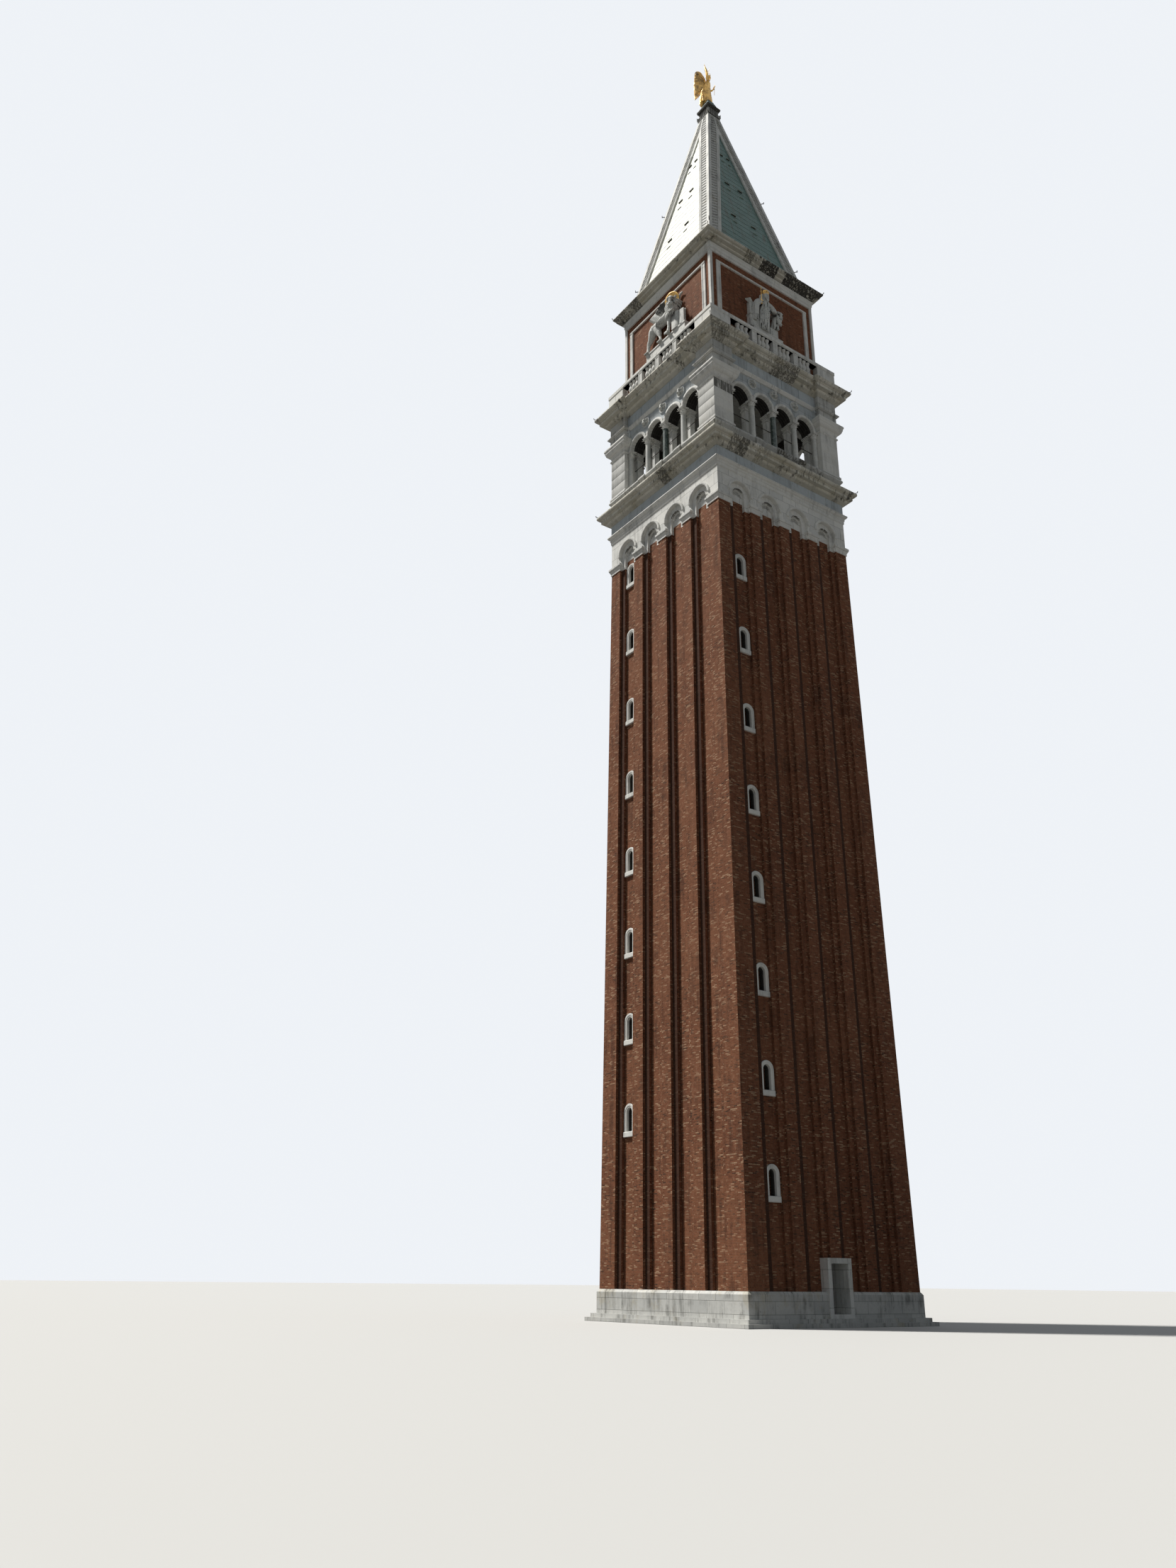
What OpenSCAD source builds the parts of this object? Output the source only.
// Square brick bell tower with a stone belfry, a brick attic, a pyramid spire and a turning
// gilded figure. A scale model at one tenth of full size, standing on z = 0, east along +X.

/* [Foot] */
// Rise of each step round the foot
step_rise = 20; // [14:1:28]
// Tread of each step round the foot
step_tread = 24; // [16:1:36]
// Number of steps
steps = 2; // [1:1:4]
// Height of the stone socle
socle_h = 125; // [90:1:180]
// Reach of the socle beyond the brickwork
socle_reach = 10; // [5:1:20]
// Height of the ground floor slab
floor_h = 20; // [12:1:30]
// Clear width of the doorway
door_w = 120; // [90:1:150]
// Clear height of the doorway
door_h = 240; // [200:1:280]
// Width of the stone surround on each side of the doorway
door_frame = 26; // [16:1:40]

/* [Shaft] */
// Half of the shaft's width at the ground
foot_half = 621; // [605:1:640]
// Half of the shaft's width under its stone crown
head_half = 576; // [564:1:590]
// Thickness of the shaft's wall at its head
wall_t = 159; // [140:1:180]
// Height of the brickwork above the socle
shaft_h = 4663; // [4600:1:4750]
// Width of a pilaster between two bays
pilaster_w = 80; // [70:1:88]
// Width of a bay between two pilasters
bay_w = 179; // [170:1:184]
// Width of the sunk panel in a bay
panel_w = 101; // [98:1:120]
// Depth of the first step of a bay
ring_set = 17; // [12:1:24]
// Depth of the panel behind that step
panel_set = 18; // [12:1:26]

/* [Windows] */
// Windows in each face
windows = 8; // [4:1:8]
// Height of the lowest window's middle on the south and north faces
south_first = 1067; // [900:1:1180]
// Distance from the highest window's middle to the crown on the south and north faces
south_drop = 72; // [70:1:160]
// Height of the lowest window's middle on the east and west faces
east_first = 679; // [600:1:760]
// Distance from the highest window's middle to the crown on the east and west faces
east_drop = 432; // [360:1:520]
// Width of a window's stone frame
window_w = 97; // [80:1:98]
// Height of a window's stone frame
window_h = 190; // [170:1:196]
// Width of the slit
slit_w = 40; // [30:1:56]
// Height of the slit
slit_h = 130; // [100:1:146]
// Depth of the frame in the wall
frame_depth = 40; // [25:1:60]

/* [Crown of the shaft] */
// Height of the stone crown with its blind arches
crown_h = 260; // [250:1:290]
// Height of the impost band
impost_h = 53; // [40:1:60]
// Reach of the impost band
impost_reach = 17; // [10:1:22]
// Height of the blind arches' springing above the brickwork
blind_spring = 106; // [98:1:110]
// Width of the moulding round a blind arch
archivolt_w = 15; // [8:1:18]

/* [Lower entablature] */
// Height of the lower architrave
architrave_h = 60; // [50:1:75]
// Height of the lower frieze
frieze_h = 95; // [80:1:110]
// Height of the lower cornice
cornice_h = 97; // [85:1:110]
// Reach of the lower cornice
cornice_reach = 80; // [65:1:92]

/* [Belfry] */
// Height of the plinth under the belfry columns
plinth_h = 125; // [110:1:140]
// Reach of the belfry's corner piers beyond the head of the shaft
belfry_reach = 2; // [-4:1:8]
// Width of a corner pier
pier_w = 163; // [155:1:170]
// Height of the columns up to the springing of the arches
column_h = 345; // [330:1:365]
// Radius of a column at its foot
column_r = 21; // [18:1:23]
// Distance that the columns' row stands behind the piers' faces
column_set = 48; // [44:1:54]
// Radius of the belfry arches
arch_r = 80; // [76:1:82]
// Distance that the arcade's front stands behind the piers' faces
arcade_set = 33; // [22:1:36]
// Thickness of the arcade
arcade_t = 109; // [104:1:113]
// Height of the capitals of the corner piers
pier_capital_h = 89; // [75:1:100]
// Reach of those capitals
pier_capital_reach = 42; // [30:1:48]
// Radius of a roundel between the arches
roundel_r = 44; // [34:1:46]
// Thickness of the belfry floor
belfry_floor_h = 30; // [20:1:40]

/* [Upper entablature] */
// Height of the architrave blocks over the piers
head_block_h = 76; // [70:1:90]
// Height of the upper frieze with its lower moulding
upper_frieze_h = 125; // [110:1:140]
// Height of the upper cornice
upper_cornice_h = 105; // [95:1:120]
// Reach of the upper cornice
upper_reach = 94; // [80:1:104]
// Distance that the wall between the piers stands back
break_set = 28; // [18:1:32]
// Thickness of the terrace over the belfry
terrace_h = 25; // [16:1:36]

/* [Balustrade] */
// Height of the balustrade
rail_h = 165; // [150:1:185]
// Clear width of the walk between the attic and the balustrade
walk_w = 49; // [41:1:55]
// Thickness of the balustrade
rail_t = 44; // [38:1:50]
// Width of a pedestal between two groups of balusters
pedestal_w = 46; // [38:1:56]
// Balusters in a group
balusters = 3; // [2:1:4]

/* [Attic] */
// Half of the attic's width over its stone strips
attic_half = 503; // [495:1:508]
// Height of the brick attic above the terrace
attic_h = 788; // [760:1:820]
// Thickness of the attic's brick wall
attic_wall_t = 79; // [60:1:100]
// Width of the stone strip at each corner
corner_strip = 21; // [14:1:28]
// Width of the brick margin between the corner strip and the inner frame
margin_w = 39; // [28:1:50]
// Width of the inner frame's upright strips
frame_w = 34; // [26:1:42]
// Height of the inner frame's top strip
frame_top_h = 18; // [12:1:26]
// Thickness of the stone strips on the brick
strip_t = 7; // [4:1:10]
// Height of the attic cornice
attic_cornice_h = 140; // [120:1:155]
// Reach of the attic cornice
attic_reach = 71; // [60:1:80]

/* [Reliefs] */
// Height of a winged lion over its ledge
lion_h = 372; // [340:1:400]
// Height of the ledge under a winged lion above the terrace
lion_ledge_h = 306; // [290:1:330]
// Height of a robed figure over its ledge
robed_h = 376; // [340:1:400]
// Height of the ledge under a robed figure above the terrace
robed_ledge_h = 260; // [240:1:290]

/* [Spire] */
// Half of the copper spire's width at its foot
spire_half = 471; // [460:1:480]
// Half of the copper spire's width at its top
spire_top_half = 53; // [46:1:58]
// Height of the spire
spire_h = 2012; // [1950:1:2060]
// Thickness of the spire's shell, measured level
shell_t = 30; // [20:1:44]
// Width of the stone band on each side of a ridge
rib_w = 108; // [90:1:116]
// Width of that band's fillet along the ridge
ridge_fillet = 17; // [12:1:24]
// Width of that band's fillet along the copper
copper_fillet = 31; // [20:1:38]
// Thickness of the stone band over the copper
rib_t = 11; // [8:1:16]
// Depth of the sunk middle of the stone band
rib_sunk = 6; // [3:1:8]

/* [Top] */
// Height of the stone pedestal on the spire
pedestal_h = 125; // [110:1:145]
// Height of the stepped base under the figure
vane_base_h = 85; // [75:1:100]
// Radius of the spindle that the figure turns on
spindle_r = 9; // [6:0.5:10]
// Length of the spindle above its base
spindle_h = 60; // [45:1:70]
// Gap between spindle and socket
spindle_gap = 0.05; // [0.02:0.01:0.09]
// Gap under the turning socket
seat_gap = 0.3; // [0.2:0.1:0.5]
// Height of the gilded figure above its base
figure_h = 460; // [430:1:480]
// Heading of the figure at rest, from east towards north
heading = 55; // [0:1:359]

/* [Hidden] */

brick = [0.52, 0.30, 0.20];
stone = [0.80, 0.79, 0.75];
pale_stone = [0.88, 0.87, 0.83];
dark_marble = [0.24, 0.30, 0.28];
copper = [0.38, 0.52, 0.48];
bronze = [0.20, 0.25, 0.22];
gold = [0.80, 0.62, 0.20];

faces = [0, 90, 180, 270];
signs = [-1, 1];
// Overlap given to every cutting shape so that no cut ends flush
lap = 5;
// Larger than anything measured from the axis
far = 900;
round_fn = 32;

hollow_half = head_half - wall_t;
belfry_half = head_half + belfry_reach;
column_row = belfry_half - column_set;
arcade_front = belfry_half - arcade_set;
arcade_back = arcade_front - arcade_t;
rail_half = attic_half + walk_w + rail_t;

// Levels, from the ground up
base_top = steps * step_rise;
socle_top = base_top + socle_h;
brick_top = socle_top + shaft_h;
crown_top = brick_top + crown_h;
architrave_top = crown_top + architrave_h;
frieze_top = architrave_top + frieze_h;
cornice_top = frieze_top + cornice_h;
plinth_top = cornice_top + plinth_h;
spring = plinth_top + column_h;
pier_neck = 20;
pier_top = spring + pier_neck;
pier_capital_top = pier_top + pier_capital_h;
wall_top = pier_capital_top + head_block_h;
upper_frieze_top = wall_top + upper_frieze_h;
upper_cornice_top = upper_frieze_top + upper_cornice_h;
terrace_top = upper_cornice_top + terrace_h;
rail_top = terrace_top + rail_h;
attic_top = terrace_top + attic_h;
attic_cornice_top = attic_top + attic_cornice_h;
spire_top = attic_cornice_top + spire_h;
pedestal_top = spire_top + pedestal_h;
vane_base_top = pedestal_top + vane_base_h;

// Places across a face
bay_pitch = bay_w + pilaster_w;
bays = [-1.5 * bay_pitch, -0.5 * bay_pitch, 0.5 * bay_pitch, 1.5 * bay_pitch];
pilasters = [-bay_pitch, 0, bay_pitch];
corner_edge = 1.5 * bay_pitch + bay_w / 2;
pier_edge = belfry_half - pier_w;
pier_mid = belfry_half - pier_w / 2;
end_column = pier_edge - column_r * 0.8;
column_pitch = end_column / 2;
free_columns = [-column_pitch, 0, column_pitch];
arches = [-1.5 * column_pitch, -0.5 * column_pitch, 0.5 * column_pitch, 1.5 * column_pitch];

// The lean of the shaft's faces, and the distance from the axis to a face at a height
lean = atan((foot_half - head_half) / brick_top);
function face_at(z) = foot_half - z * tan(lean);

// Distance from the axis to the front of a bay's sunk panel at a height
function panel_at(z) = face_at(z) - ring_set - panel_set;

// Points of an arc, for the curved part of a moulding's edge
function arc(x, z, r, from, to, parts) =
    [for (i = [0:parts]) let (a = from + (to - from) * i / parts) [x + r * cos(a), z + r * sin(a)]];

// A moulding's edge as [reach, height] pairs, turned into a closed outline about the middle
function outline(half, edge) = concat(
    [for (p = edge) [half + p[0], p[1]]],
    [for (i = [len(edge) - 1:-1:0]) [-half - edge[i][0], edge[i][1]]]
);

// Oblong course whose four sides follow the same moulding, mitred at its corners
module course(half_x, half_y, edge) {
    intersection() {
        rotate([90, 0, 0])
            linear_extrude(2 * far, center = true)
                polygon(outline(half_x, edge));
        rotate([90, 0, 90])
            linear_extrude(2 * far, center = true)
                polygon(outline(half_y, edge));
    }
}

// Square course with a square well through it
module ring_course(half, well, edge, low, high) {
    difference() {
        course(half, half, edge);
        translate([-well, -well, low - lap])
            cube([2 * well, 2 * well, high - low + 2 * lap]);
    }
}

// Quarter of the tower in front of the south face, between its two diagonals
module quarter(inner, outer, low, high) {
    translate([0, 0, low])
        linear_extrude(high - low)
            polygon([[-outer, -outer], [outer, -outer], [inner, -inner], [-inner, -inner]]);
}

// Round-headed outline standing on y = 0
module round_head(width, height) {
    translate([-width / 2, 0])
        square([width, height - width / 2]);
    translate([0, height - width / 2])
        circle(d = width, $fn = round_fn);
}

// Plan of one wall of the shaft, with its pilaster faces on y = 0
module wall_plan() {
    difference() {
        translate([-foot_half - lap, 0])
            square([2 * (foot_half + lap), foot_half]);
        for (x = bays) {
            translate([x - bay_w / 2, -lap])
                square([bay_w, ring_set + lap]);
            translate([x - panel_w / 2, -lap])
                square([panel_w, ring_set + panel_set + lap]);
        }
    }
}

// Space in each bay where the brick panel rises behind the stone imposts
tongue_h = 60;
tongue_t = 40;
tongue_w = panel_w - 4;
module tongues() {
    for (x = bays)
        translate([x - tongue_w / 2, -far, brick_top])
            cube([tongue_w, far - panel_at(brick_top) + tongue_t, tongue_h]);
}

// Rectangular space that the door's surround fills, in the south face's position
module door_space() {
    translate([-door_w / 2 - door_frame, -far, base_top])
        cube([door_w + 2 * door_frame, far - hollow_half + lap, door_h + floor_h + door_frame]);
}

// Heights of the windows' middles, evenly spaced from the lowest up to a distance below the crown
function window_rows(first, drop) =
    [for (i = [0:windows - 1]) first + i * (brick_top - drop - first) / (windows - 1)];

module windows_cut(rows) {
    for (z = rows) {
        translate([bays[0], -panel_at(z) + frame_depth, z - window_h / 2])
            rotate([90, 0, 0]) linear_extrude(far) round_head(window_w, window_h);
        translate([bays[0], -hollow_half + lap, z - slit_h / 2])
            rotate([90, 0, 0]) linear_extrude(far) round_head(slit_w, slit_h);
    }
}

module shaft_wall(rows, door = false) {
    color(brick)
        difference() {
            intersection() {
                translate([0, -foot_half, 0])
                    rotate([-lean, 0, 0])
                        linear_extrude(brick_top + tongue_h + lap) wall_plan();
                union() {
                    quarter(hollow_half, far, socle_top, brick_top);
                    tongues();
                }
            }
            translate([-far, -hollow_half, socle_top - lap])
                cube([2 * far, far, brick_top + far]);
            windows_cut(rows);
            if (door) door_space();
        }
}

// Stone frame of one slit window, its sill a little proud of the panel
frame_proud = 6;
sill_h = 18;
module window_frame(z) {
    depth = frame_depth + frame_proud;
    translate([bays[0], -panel_at(z) + frame_depth, z - window_h / 2])
        difference() {
            union() {
                rotate([90, 0, 0]) linear_extrude(depth) round_head(window_w, window_h);
                translate([-window_w / 2, -depth - frame_proud, 0])
                    cube([window_w, frame_proud + lap, sill_h]);
            }
            translate([0, lap, (window_h - slit_h) / 2])
                rotate([90, 0, 0]) linear_extrude(depth + 4 * lap) round_head(slit_w, slit_h);
        }
}

module window_frames(rows) {
    color(stone)
        for (z = rows) window_frame(z);
}

// Foot of the tower
module base_steps() {
    color(stone)
        for (i = [0:steps - 1]) {
            half = foot_half + socle_reach + step_tread * (steps - i);
            translate([-half, -half, i * step_rise])
                cube([2 * half, 2 * half, step_rise]);
        }
}

socle_bevel = 14;
module stone_socle() {
    edge = [[0, base_top], [0, socle_top - socle_bevel], [-socle_reach, socle_top]];
    color(stone)
        difference() {
            ring_course(foot_half + socle_reach, hollow_half, edge, base_top, socle_top);
            rotate([0, 0, 90]) door_space();
        }
}

module ground_floor() {
    color(stone)
        translate([-hollow_half, -hollow_half, base_top])
            cube([2 * hollow_half, 2 * hollow_half, floor_h]);
}

surround_proud = 8;
module door_surround() {
    front = foot_half + socle_reach + surround_proud;
    color(pale_stone)
        rotate([0, 0, 90])
            difference() {
                intersection() {
                    door_space();
                    translate([-far, -front, 0]) cube([2 * far, front - hollow_half, far]);
                }
                translate([-door_w / 2, -far, base_top + floor_h])
                    cube([door_w, far, door_h]);
            }
}

south_rows = window_rows(south_first, south_drop);
east_rows = window_rows(east_first, east_drop);
module shaft_wall_south() { shaft_wall(south_rows); }
module shaft_wall_east() { rotate([0, 0, 90]) shaft_wall(east_rows, true); }
module shaft_wall_north() { rotate([0, 0, 180]) shaft_wall(south_rows); }
module shaft_wall_west() { rotate([0, 0, 270]) shaft_wall(east_rows); }
module window_frames_south() { window_frames(south_rows); }
module window_frames_east() { rotate([0, 0, 90]) window_frames(east_rows); }
module window_frames_north() { rotate([0, 0, 180]) window_frames(south_rows); }
module window_frames_west() { rotate([0, 0, 270]) window_frames(east_rows); }

// Stone crown of the shaft: imposts round the pilasters, and a blind arch with a shell in each bay
impost_edge = [
    [0, 0], [impost_reach * 0.3, 0], [impost_reach * 0.3, impost_h * 0.3],
    [impost_reach, impost_h * 0.75], [impost_reach, impost_h], [0, impost_h + impost_reach]
];
module archivolt(radius) {
    translate([0, 0, blind_spring])
        rotate([90, 0, 0])
            linear_extrude(archivolt_proud)
                difference() {
                    circle(r = radius + archivolt_w, $fn = round_fn);
                    circle(r = radius, $fn = round_fn);
                    translate([-far, -2 * far]) square(2 * far);
                }
}

archivolt_proud = 7;
module blind_arches() {
    color(pale_stone)
        intersection() {
            quarter(hollow_half, far, brick_top, crown_top);
            difference() {
                union() {
                    translate([-far, -head_half, brick_top])
                        cube([2 * far, head_half - hollow_half, crown_h]);
                    for (x = bays)
                        translate([x, -head_half, brick_top]) archivolt(bay_w / 2);
                    for (x = pilasters)
                        translate([x, -head_half + pilaster_w / 2, brick_top])
                            course(pilaster_w / 2, pilaster_w / 2, impost_edge);
                    for (s = signs)
                        translate([s * (corner_edge + head_half) / 2,
                            -(corner_edge + head_half) / 2, brick_top])
                            course((head_half - corner_edge) / 2, (head_half - corner_edge) / 2,
                                impost_edge);
                }
                for (x = bays)
                    translate([x, 0, brick_top]) {
                        bay_opening(bay_w - 2 * impost_reach, bay_w, head_half - ring_set);
                        bay_opening(panel_w, panel_w, head_half - ring_set - panel_set);
                        shell(head_half - ring_set - panel_set);
                    }
                tongues();
            }
        }
}

// Fluted shell in the head of a panel, with pierced slots in its middle flutes
flutes = 7;
flute_in = 12;
flute_out = 40;
flute_share = 0.42;
slot_w = 4;
module shell(plane) {
    step = 180 / flutes;
    r_in = flute_share * 2 * flute_in * sin(step / 2);
    r_out = flute_share * 2 * flute_out * sin(step / 2);
    translate([0, -plane, blind_spring])
        for (i = [0:flutes - 1])
            rotate([0, 90 - (i + 0.5) * step - 90, 0])
                rotate([0, 90, 0]) {
                    translate([0, 0, flute_in])
                        cylinder(r1 = r_in, r2 = r_out, h = flute_out - flute_in, $fn = round_fn);
                    translate([0, 0, flute_out]) sphere(r = r_out, $fn = round_fn);
                    if (i > 0 && i < flutes - 1)
                        translate([-slot_w / 2, 0, flute_out * 0.5])
                            cube([slot_w, 2 * r_out, flute_out * 0.34]);
                }
}

// Arched recess of a bay, cut back to a plane at a distance from the axis
module bay_opening(foot_width, width, plane) {
    translate([-foot_width / 2, -far, -lap])
        cube([foot_width, far - plane, blind_spring + lap]);
    translate([0, -plane, blind_spring])
        rotate([90, 0, 0])
            linear_extrude(far)
                circle(d = width, $fn = round_fn);
}

module blind_arches_south() { blind_arches(); }
module blind_arches_east() { rotate([0, 0, 90]) blind_arches(); }
module blind_arches_north() { rotate([0, 0, 180]) blind_arches(); }
module blind_arches_west() { rotate([0, 0, 270]) blind_arches(); }

// Lower entablature
module lower_architrave() {
    z = crown_top;
    edge = concat(
        [[0, z], [4, z], [4, z + architrave_h * 0.4], [8, z + architrave_h * 0.4]],
        [[8, z + architrave_h * 0.7]],
        arc(8, z + architrave_h * 0.92, architrave_h * 0.22, -90, 0, 3),
        [[24, z + architrave_h * 0.92], [24, z + architrave_h], [2, z + architrave_h + 8]],
        [[2, frieze_top]]
    );
    color(stone) ring_course(head_half, hollow_half, edge, z, frieze_top);
}

function cornice_edge(z, h, reach) = concat(
    [[0, z], [reach * 0.1, z + h * 0.05]],
    arc(reach * 0.1, z + h * 0.33, h * 0.25, -90, 0, 4),
    [[reach * 0.7, z + h * 0.36], [reach * 0.7, z + h * 0.56], [reach * 0.76, z + h * 0.58]],
    arc(reach * 0.76, z + h * 0.82, h * 0.2, -90, -10, 4),
    [[reach, z + h * 0.8], [reach, z + h * 0.88], [0, z + h]]
);

module lower_cornice() {
    color(stone)
        ring_course(head_half, hollow_half, cornice_edge(frieze_top, cornice_h, cornice_reach),
            frieze_top, cornice_top);
}

// Belfry
module belfry_floor() {
    color(stone)
        translate([-arcade_back, -arcade_back, cornice_top])
            cube([2 * arcade_back, 2 * arcade_back, belfry_floor_h]);
}

plinth_cap = 14;
sill_break = 7;
module belfry_plinth() {
    z = cornice_top;
    cap = plinth_top - 26;
    edge = [[0, z], [0, cap - plinth_cap], [plinth_cap, cap], [plinth_cap, cap + 6], [0, plinth_top]];
    color(stone)
        difference() {
            union() {
                course(belfry_half, belfry_half, edge);
                for (a = faces, x = free_columns)
                    rotate([0, 0, a])
                        translate([x, -belfry_half + pedestal_w / 2, 0])
                            course(pedestal_w / 2, pedestal_w / 2 + sill_break, edge);
            }
            translate([-arcade_back, -arcade_back, z - lap])
                cube([2 * arcade_back, 2 * arcade_back, plinth_h + 2 * lap]);
        }
}

// Pier with its moulded foot and its astragal, which its neighbours are cut to
astragal = 8;
module pier(foot = plinth_top) {
    z = plinth_top;
    course(pier_w / 2, pier_w / 2, concat(
        [[8, foot], [8, z + 12], [0, z + 24], [0, spring - astragal]],
        arc(0, spring, astragal, -90, 90, 6),
        [[0, pier_top]]
    ));
}

module corner_piers() {
    color(pale_stone)
        for (x = signs, y = signs) translate([x * pier_mid, y * pier_mid, 0]) pier();
}

module pier_capital_shape() {
    r = pier_capital_reach;
    h = pier_capital_h;
    edge = concat(
        [[0, pier_top], [5, pier_top + h * 0.15]],
        arc(5, pier_top + h * 0.55, h * 0.3, -90, 0, 4),
        [[r * 0.86, pier_top + h * 0.6], [r * 0.86, pier_top + h * 0.74], [r, pier_top + h * 0.84]],
        [[r, pier_top + h * 0.95], [4, pier_capital_top]]
    );
    course(pier_w / 2, pier_w / 2, edge);
}

module pier_capitals() {
    color(pale_stone)
        for (x = signs, y = signs)
            translate([x * pier_mid, y * pier_mid, 0]) pier_capital_shape();
}

base_h = 26;
capital_h = 52;
abacus_half = 27;
column_taper = 0.88;
module column_shaft() {
    rotate_extrude($fn = round_fn)
        polygon(concat(
            [[0, 0], [column_r * 1.3, 0], [column_r * 1.3, base_h * 0.35]],
            arc(column_r * 1.1, base_h * 0.6, base_h * 0.25, -60, 90, 4),
            [[column_r, base_h], [column_r * column_taper, column_h - capital_h]],
            [[0, column_h - capital_h]]
        ));
}

module column_capital() {
    neck = column_r * column_taper;
    translate([0, 0, column_h - capital_h])
        rotate_extrude($fn = round_fn)
            polygon(concat(
                [[0, 0], [neck, 0]],
                arc(neck, 3, 3, -90, 90, 3),
                [[neck, 8], [neck + 2, capital_h * 0.5], [abacus_half, capital_h * 0.75]],
                [[0, capital_h * 0.75]]
            ));
    course(abacus_half, abacus_half, [
        [-3, column_h - capital_h * 0.25], [0, column_h - capital_h * 0.15], [3, column_h]
    ]);
}

// Puts a column at each free place in a row, or half engaged beside the piers
module at_columns(places) {
    for (a = faces, x = places)
        rotate([0, 0, a]) translate([x, -column_row, plinth_top]) children();
}

// Everything between the side faces of two piers, in the south face's position
module between_piers() {
    intersection() {
        children();
        translate([-pier_edge, -far, 0]) cube([2 * pier_edge, far, far * 12]);
    }
}

module end_columns() {
    for (a = faces)
        rotate([0, 0, a])
            difference() {
                between_piers()
                    for (s = signs)
                        translate([s * end_column, -column_row, plinth_top]) children();
                for (s = signs) translate([s * pier_mid, -pier_mid, 0]) pier(plinth_top - lap);
            }
}

module pale_columns() {
    color(pale_stone) {
        at_columns([-column_pitch, column_pitch]) column_shaft();
        end_columns() column_shaft();
    }
}

module dark_columns() {
    color(dark_marble) at_columns([0]) column_shaft();
}

module column_capitals() {
    color(pale_stone) {
        at_columns(free_columns) column_capital();
        end_columns() column_capital();
    }
}

pillar_x = 15;
pillar_y = 20;
pillar_row = arcade_back + pillar_y + 6;
module pillar() {
    course(pillar_x, pillar_y, [
        [5, plinth_top], [5, plinth_top + 14], [0, plinth_top + 20], [0, spring - 50],
        [5, spring - 46], [5, spring - 38], [0, spring - 36], [0, spring - 22], [6, spring - 8],
        [6, spring]
    ]);
}

module inner_pillars() {
    color(pale_stone)
        for (a = faces)
            rotate([0, 0, a])
                difference() {
                    between_piers()
                        for (x = concat(free_columns, [-end_column, end_column]))
                            translate([x, -pillar_row, 0]) pillar();
                    for (s = signs) translate([s * pier_mid, -pier_mid, 0]) pier(plinth_top - lap);
                }
}

module belfry_arcade() {
    color(stone)
        difference() {
            union() {
                translate([-pier_edge, -arcade_front, spring])
                    cube([2 * pier_edge, arcade_front - arcade_back, wall_top - spring]);
                intersection() {
                    translate([-pier_edge, -far, spring]) cube([2 * pier_edge, far, wall_top - spring]);
                    for (x = arches)
                        translate([x, -arcade_front, spring])
                            rotate([90, 0, 0]) linear_extrude(6) circle(r = arch_r + 18, $fn = round_fn);
                }
                for (x = free_columns)
                    translate([x, -arcade_front, (spring + arch_r + wall_top) / 2 + 2])
                        rotate([90, 0, 0]) roundel();
                for (s = signs)
                    translate([s * (pier_edge - console_w * 0.8), -arcade_front, 0]) console();
            }
            for (x = arches)
                translate([x, -arcade_back + lap, spring])
                    rotate([90, 0, 0]) linear_extrude(far) circle(r = arch_r, $fn = 2 * round_fn);
            for (s = signs)
                translate([s * pier_mid, -pier_mid, 0]) {
                    pier(plinth_top - lap);
                    pier_capital_shape();
                    pier_head();
                }
        }
}

// Scrolled bracket between an end arch and the architrave, thicker towards its top
console_w = 24;
console_out = 15;
module console() {
    low = pier_capital_top + 4;
    scroll = console_out * 0.55;
    translate([-console_w / 2, 0, 0])
        rotate([90, 0, 90])
            linear_extrude(console_w) {
                polygon([
                    [lap, low], [-3, low], [-console_out * 0.5, wall_top - 2.6 * scroll],
                    [-console_out, wall_top - scroll], [-console_out, wall_top], [lap, wall_top]
                ]);
                translate([-console_out + scroll * 0.4, wall_top - scroll])
                    circle(r = scroll, $fn = round_fn);
                translate([-3, low + 5]) circle(r = 5, $fn = round_fn);
            }
}

module roundel() {
    rotate_extrude($fn = round_fn)
        polygon(concat(
            [[0, 0], [roundel_r, 0], [roundel_r, 4]],
            arc(roundel_r - 5, 4, 5, 0, 180, 4),
            [[roundel_r - 12, 2], [roundel_r * 0.42, 3]],
            arc(0, 3, roundel_r * 0.42, 0, 90, 4)
        ));
}

module belfry_arcade_south() { belfry_arcade(); }
module belfry_arcade_east() { rotate([0, 0, 90]) belfry_arcade(); }
module belfry_arcade_north() { rotate([0, 0, 180]) belfry_arcade(); }
module belfry_arcade_west() { rotate([0, 0, 270]) belfry_arcade(); }

// Upper entablature, which breaks forward over the piers
module pier_head() {
    z = pier_capital_top;
    course(pier_w / 2, pier_w / 2, [
        [4, z], [4, z + head_block_h * 0.45], [7, z + head_block_h * 0.45], [7, wall_top],
        [24, wall_top + 16], [24, wall_top + 24], [6, wall_top + 28], [6, upper_frieze_top]
    ]);
}

wall_half = belfry_half - break_set;
module upper_architrave() {
    edge = [
        [0, wall_top], [2, wall_top], [14, wall_top + 16], [14, wall_top + 24], [0, wall_top + 28],
        [0, upper_frieze_top]
    ];
    color(stone)
        over_chamber() {
            course(wall_half, wall_half, edge);
            for (x = signs, y = signs) translate([x * pier_mid, y * pier_mid, 0]) pier_head();
        }
}

// A course round the top of the bell chamber, open in the middle
module over_chamber() {
    difference() {
        union() children();
        translate([-arcade_back, -arcade_back, 0])
            cube([2 * arcade_back, 2 * arcade_back, upper_cornice_top + lap]);
    }
}

module upper_cornice() {
    edge = cornice_edge(upper_frieze_top, upper_cornice_h, upper_reach);
    color(stone)
        over_chamber() {
            course(wall_half, wall_half, edge);
            for (x = signs, y = signs)
                translate([x * pier_mid, y * pier_mid, 0]) course(pier_w / 2, pier_w / 2, edge);
        }
}

module belfry_terrace() {
    color(stone)
        translate([-rail_half, -rail_half, upper_cornice_top])
            cube([2 * rail_half, 2 * rail_half, terrace_h]);
}

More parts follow.
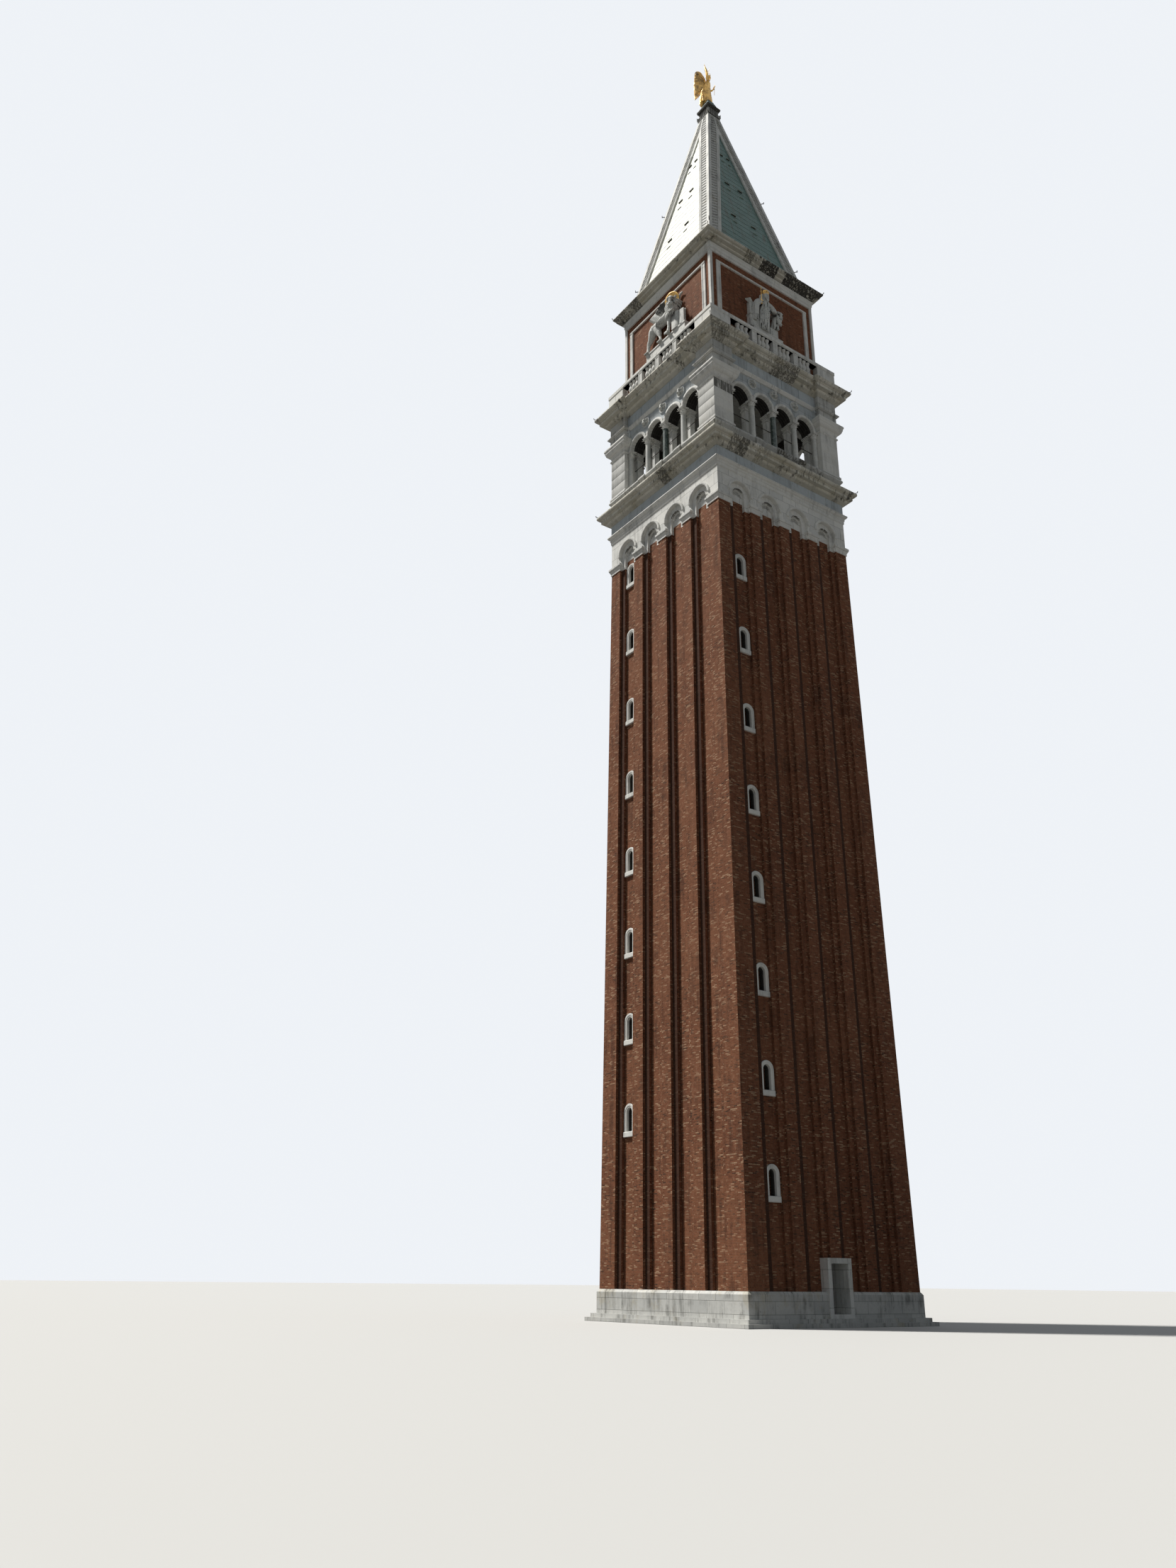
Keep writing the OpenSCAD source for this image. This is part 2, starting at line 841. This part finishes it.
// Balustrade
rail_foot_h = 28;
rail_cap_h = 34;
module baluster() {
    h = rail_h - rail_foot_h - rail_cap_h;
    r = rail_t * 0.3;
    rotate_extrude($fn = round_fn / 2)
        polygon(concat(
            [[0, 0], [r, 0], [r, h * 0.08], [r * 0.5, h * 0.14]],
            arc(r * 0.35, h * 0.36, r * 0.75, -60, 60, 4),
            [[r * 0.45, h * 0.75], [r * 0.5, h * 0.88], [r, h * 0.93], [r, h], [0, h]]
        ));
}

group_w = column_pitch - pedestal_w;
// Rails, pedestals and balusters of one side; the rails run a distance into the corner pedestals
module balustrade(into = 0) {
    mid = rail_half - rail_t / 2;
    end = pier_edge + into;
    color(pale_stone)
        translate([0, -mid, terrace_top]) {
            translate([-end, -rail_t / 2, 0]) cube([2 * end, rail_t, rail_foot_h]);
            translate([-end, -rail_t / 2, rail_h - rail_cap_h])
                cube([2 * end, rail_t, rail_cap_h]);
            for (x = free_columns)
                translate([x - pedestal_w / 2, -rail_t / 2, 0]) cube([pedestal_w, rail_t, rail_h]);
            for (x = arches, i = [1:balusters])
                translate([x - group_w / 2 + i * group_w / (balusters + 1), 0, rail_foot_h])
                    baluster();
        }
}

module corner_pedestals() {
    w = rail_half - pier_edge;
    color(pale_stone)
        difference() {
            for (s = signs)
                translate([s * (rail_half - w / 2), -(rail_half - w / 2), terrace_top])
                    course(w / 2, w / 2, [
                        [0, 0], [0, rail_foot_h - 6], [-4, rail_foot_h], [-4, rail_h - rail_cap_h],
                        [0, rail_h - rail_cap_h + 6], [0, rail_h]
                    ]);
            translate([rail_t - rail_half, rail_t - rail_half, terrace_top - lap])
                cube([2 * (rail_half - rail_t), far, rail_h + 2 * lap]);
        }
}

module balustrade_south() { balustrade(lap); corner_pedestals(); }
module balustrade_east() { rotate([0, 0, 90]) balustrade(); }
module balustrade_north() { rotate([0, 0, 180]) { balustrade(lap); corner_pedestals(); } }
module balustrade_west() { rotate([0, 0, 270]) balustrade(); }

// Attic
attic_brick = attic_half - strip_t;
module attic_walls() {
    color(brick)
        ring_course(attic_brick, attic_brick - attic_wall_t, [[0, terrace_top], [0, attic_top]],
            terrace_top, attic_top);
}

frame_left = attic_half - corner_strip - margin_w - frame_w;
frame_top = attic_top - 58;
module attic_strips() {
    color(pale_stone) {
        difference() {
            course(attic_half, attic_half, [[0, terrace_top], [0, attic_top]]);
            translate([-attic_brick, -attic_brick, terrace_top - lap])
                cube([2 * attic_brick, 2 * attic_brick, attic_h + 2 * lap]);
            for (a = faces)
                rotate([0, 0, a])
                    translate([corner_strip - attic_half, -far, terrace_top - lap])
                        cube([2 * (attic_half - corner_strip), far - 100, attic_h + 2 * lap]);
        }
        for (a = faces)
            rotate([0, 0, a])
                difference() {
                    translate([-frame_left - frame_w, -attic_half, terrace_top])
                        cube([2 * (frame_left + frame_w), strip_t, frame_top - terrace_top]);
                    translate([-frame_left, -far, terrace_top - lap])
                        cube([2 * frame_left, far, frame_top - terrace_top - frame_top_h + lap]);
                }
    }
}

module attic_cornice() {
    z = attic_top;
    h = attic_cornice_h;
    r = attic_reach;
    edge = concat(
        [[2, z], [2, z + h * 0.18], [6, z + h * 0.18], [6, z + h * 0.36], [14, z + h * 0.42]],
        [[14, z + h * 0.46], [5, z + h * 0.47], [5, z + h * 0.55]],
        arc(5, z + h * 0.69, h * 0.14, -90, 0, 3),
        [[r * 0.72, z + h * 0.71], [r * 0.72, z + h * 0.82]],
        arc(r * 0.76, z + h * 0.94, h * 0.11, -90, -10, 3),
        [[r, z + h * 0.92], [r, z + h * 0.96], [0, z + h]]
    );
    color(stone)
        ring_course(attic_half, attic_brick - attic_wall_t, edge, z, attic_cornice_top);
}

// Spire
function spire_at(z) =
    spire_half - (z - attic_cornice_top) / spire_h * (spire_half - spire_top_half);

// The spire's form between two heights, its faces set in by a distance
module pyramid(low, high, inset = 0) {
    course(0, 0, [[spire_at(low) - inset, low], [spire_at(high) - inset, high]]);
}

module spire_shell() {
    color(copper)
        difference() {
            pyramid(attic_cornice_top, spire_top);
            pyramid(attic_cornice_top - lap, spire_top - 2 * shell_t, shell_t);
        }
}

// Height at which the copper spire is as wide as twice a given half
function spire_level(half) =
    attic_cornice_top + (spire_half - half) / (spire_half - spire_top_half) * spire_h;

// Outline across the south face, at given heights, extruded forward from the axis
module on_face(points) {
    rotate([90, 0, 0]) linear_extrude(far) polygon(points);
}

// Copper triangle that the stone bands leave free on a face
module copper_field() {
    low = attic_cornice_top - lap;
    half = spire_at(low) - rib_w;
    on_face([[-half, low], [half, low], [0, spire_level(rib_w)]]);
}

// Sunk middle of the two stone bands of a face, up to a fillet under the pedestal
spire_middle = 8;
module band_sinkings() {
    low = attic_cornice_top - lap;
    top = spire_top - ridge_fillet;
    inner = rib_w - copper_fillet;
    meet = spire_level(inner + spire_middle);
    for (s = signs)
        on_face([
            [s * (spire_at(low) - inner), low], [s * (spire_at(low) - ridge_fillet), low],
            [s * (spire_at(top) - ridge_fillet), top], [s * spire_middle, top],
            [s * spire_middle, meet]
        ]);
}

module spire_ribs() {
    color(pale_stone)
        difference() {
            pyramid(attic_cornice_top, spire_top, -rib_t);
            pyramid(attic_cornice_top - lap, spire_top + lap);
            for (a = faces)
                rotate([0, 0, a]) {
                    copper_field();
                    difference() {
                        band_sinkings();
                        pyramid(attic_cornice_top - 2 * lap, spire_top + lap, rib_sunk - rib_t);
                    }
                }
        }
}

pedestal_half = spire_top_half + rib_t;
volute_r = 13;
volute_w = 16;
volute_reach = 100;
module spire_pedestal() {
    z = spire_top;
    h = pedestal_h;
    color(stone) {
        course(pedestal_half, pedestal_half, [
            [0, z], [0, z + h * 0.1], [-8, z + h * 0.16], [-8, z + h * 0.7], [-2, z + h * 0.76],
            [4, z + h * 0.86], [4, z + h * 0.94], [-4, z + h]
        ]);
        for (a = faces) rotate([0, 0, a + 45]) volute();
    }
}

// Scroll that curls out from a corner of the pedestal, its tip turned up
module volute() {
    translate([0, volute_w / 2, spire_top])
        rotate([90, 0, 0])
            linear_extrude(volute_w)
                difference() {
                    union() {
                        polygon([
                            [40, 0], [pedestal_half, 0], [volute_reach - volute_r, volute_r * 1.4],
                            [volute_reach, volute_r * 4], [volute_reach - 8, volute_r * 3.2],
                            [pedestal_half, volute_r * 4.4], [40, volute_r * 5]
                        ]);
                        translate([volute_reach - volute_r, volute_r * 2.4])
                            circle(r = volute_r, $fn = round_fn);
                    }
                    translate([volute_reach - volute_r, volute_r * 2.4])
                        circle(r = volute_r * 0.4, $fn = round_fn);
                }
}

module vane_base() {
    color(bronze) {
        for (i = [0:3]) {
            half = 54 - 7 * i;
            translate([-half, -half, pedestal_top + i * vane_base_h / 4])
                cube([2 * half, 2 * half, vane_base_h / 4]);
        }
        translate([0, 0, vane_base_top]) cylinder(r = spindle_r, h = spindle_h, $fn = round_fn);
    }
}

socket_wall = 9;
socket_h = spindle_h + 16;
module vane_socket() {
    color(gold)
        translate([0, 0, vane_base_top + seat_gap])
            difference() {
                cylinder(r = spindle_r + socket_wall, h = socket_h, $fn = round_fn);
                translate([0, 0, -lap])
                    cylinder(r = spindle_r + spindle_gap, h = spindle_h + lap + 2, $fn = round_fn);
            }
}

module gilded_angel() {
    color(gold)
        translate([0, 0, vane_base_top + seat_gap])
            rotate([0, 0, heading])
                difference() {
                    angel_figure();
                    translate([0, 0, -lap])
                        cylinder(r = (spindle_r + socket_wall + 0.02) / cos(180 / round_fn),
                            h = socket_h + lap, $fn = round_fn);
                }
}

fine = 14;
module ball(x, y, z, r) {
    translate([x, y, z]) sphere(r = r, $fn = fine);
}

module limb(a, ra, b, rb) {
    hull() {
        ball(a[0], a[1], a[2], ra);
        ball(b[0], b[1], b[2], rb);
    }
}

// Winged figure that faces +X, with its right arm raised
module angel_figure() {
    k = figure_h / 460;
    scale(k) {
        hull() {
            cylinder(r = 38, h = 8, $fn = fine);
            ball(0, 0, 180, 27);
        }
        hull() {
            ball(0, 0, 180, 26);
            ball(2, -22, 262, 20);
            ball(2, 22, 262, 20);
        }
        hull() {
            ball(-16, 0, 240, 22);
            translate([-34, -26, 10]) cube([16, 52, 6]);
        }
        limb([4, 0, 280], 10, [6, 0, 300], 9);
        hull() {
            ball(9, 0, 312, 18);
            ball(5, 0, 322, 18);
        }
        limb([4, -26, 262], 13, [16, -40, 330], 10);
        limb([16, -40, 330], 10, [14, -34, 420], 7);
        limb([14, -34, 420], 8, [16, -34, 452], 8);
        limb([4, 26, 262], 13, [22, 42, 212], 10);
        limb([22, 42, 212], 10, [58, 34, 222], 8);
        for (s = signs) wing(s);
    }
}

module wing(s) {
    translate([-18, s * 10, 0])
        rotate([0, 0, s * 48])
            rotate([0, 0, 180])
                rotate([90, 0, 0])
                    translate([0, 0, -5])
                        linear_extrude(10)
                            polygon(concat(
                                [[0, 262], [8, 200], [40, 120], [62, 72]],
                                arc(76, 84, 18, 225, 380, 5),
                                [[100, 250]],
                                arc(76, 330, 26, 0, 150, 6),
                                [[30, 290]]
                            ));
}

// Winged lion walking to the east on its ledge, in the south face's position
module lion() {
    k = lion_h / 372;
    translate([30 * k, -attic_brick - 26 * k, terrace_top + lion_ledge_h]) scale(k) {
        translate([-225, -20, -75]) cube([450, 46, 75]);
        limb([-140, 0, 175], 42, [70, 0, 190], 48);
        limb([70, -6, 195], 50, [110, -10, 262], 44);
        ball(124, -16, 292, 44);
        limb([150, -22, 280], 20, [168, -24, 272], 16);
        limb([-158, 0, 158], 30, [-186, -4, 78], 17);
        limb([-186, -4, 78], 17, [-206, -6, 10], 12);
        limb([-112, -8, 150], 28, [-96, -8, 75], 15);
        limb([-96, -8, 75], 15, [-84, -8, 8], 13);
        limb([60, -4, 160], 26, [54, -8, 80], 16);
        limb([54, -8, 80], 16, [46, -20, 6], 14);
        limb([104, -14, 205], 22, [128, -24, 140], 13);
        translate([92, -16, -4]) cube([74, 34, 130]);
        translate([163, -12, -4]) cube([62, 30, 120]);
        limb([-186, 4, 180], 12, [-226, 4, 100], 8);
        limb([-226, 4, 100], 8, [-216, 0, 30], 7);
        lion_wing(-1, 18);
        lion_wing(1, 0);
        translate([100, 14, 310]) rotate([90, 0, 0])
            cylinder(r = 62, h = 10, $fn = round_fn);
    }
}

module lion_wing(s, dy) {
    translate([20, dy + 4, 215])
        rotate([90, 0, 0])
            linear_extrude(14)
                mirror([s > 0 ? 1 : 0, 0])
                    polygon(concat(
                        [[20, -30], [-30, 20], [-70, 60], [-140, 92]],
                        arc(-150, 118, 20, 240, 90, 4),
                        [[-70, 150], [10, 120], [50, 40]]
                    ));
}

module winged_lions() {
    color(pale_stone)
        for (a = [0, 180])
            rotate([0, 0, a])
                intersection() {
                    lion();
                    translate([-far, -far, 0]) cube([2 * far, far - attic_brick, 12 * far]);
                }
}

// Crowned robed figure between two small lions, in the south face's position
module robed_figure() {
    k = robed_h / 376;
    translate([0, -attic_brick - 22 * k, terrace_top + robed_ledge_h]) scale(k) {
        translate([-140, -20, -26]) cube([290, 44, 26]);
        hull() {
            ball(-46, 0, 22, 26);
            ball(46, 0, 22, 26);
            ball(-26, 0, 190, 26);
            ball(30, 0, 190, 26);
        }
        hull() {
            ball(-22, 0, 190, 32);
            ball(24, 0, 190, 32);
            ball(-34, 0, 280, 20);
            ball(36, 0, 280, 20);
        }
        limb([0, -4, 300], 13, [0, -6, 320], 12);
        ball(0, -8, 334, 25);
        translate([0, -8, 350]) cylinder(r1 = 22, r2 = 27, h = 26, $fn = fine);
        limb([-40, -2, 278], 20, [-82, -10, 215], 17);
        limb([-82, -10, 215], 16, [-64, -26, 262], 12);
        limb([42, -2, 278], 20, [70, -10, 210], 17);
        limb([70, -10, 210], 16, [40, -30, 180], 12);
        limb([-66, -28, 225], 3, [-66, -28, 380], 3);
        for (s = signs) {
            limb([s * 108, 0, 20], 26, [s * 104, -2, 120], 30);
            limb([s * 104, -4, 150], 28, [s * 118, -12, 196], 32);
        }
    }
}

module robed_figures() {
    color(pale_stone)
        for (a = [90, 270])
            rotate([0, 0, a])
                intersection() {
                    robed_figure();
                    translate([-far, -far, 0]) cube([2 * far, far - attic_brick, 12 * far]);
                }
}

base_steps();
stone_socle();
ground_floor();
door_surround();
shaft_wall_south();
shaft_wall_east();
shaft_wall_north();
shaft_wall_west();
window_frames_south();
window_frames_east();
window_frames_north();
window_frames_west();
blind_arches_south();
blind_arches_east();
blind_arches_north();
blind_arches_west();
lower_architrave();
lower_cornice();
belfry_floor();
belfry_plinth();
corner_piers();
pier_capitals();
pale_columns();
dark_columns();
column_capitals();
inner_pillars();
belfry_arcade_south();
belfry_arcade_east();
belfry_arcade_north();
belfry_arcade_west();
upper_architrave();
upper_cornice();
belfry_terrace();
balustrade_south();
balustrade_east();
balustrade_north();
balustrade_west();
attic_walls();
attic_strips();
winged_lions();
robed_figures();
attic_cornice();
spire_shell();
spire_ribs();
spire_pedestal();
vane_base();
vane_socket();
gilded_angel();
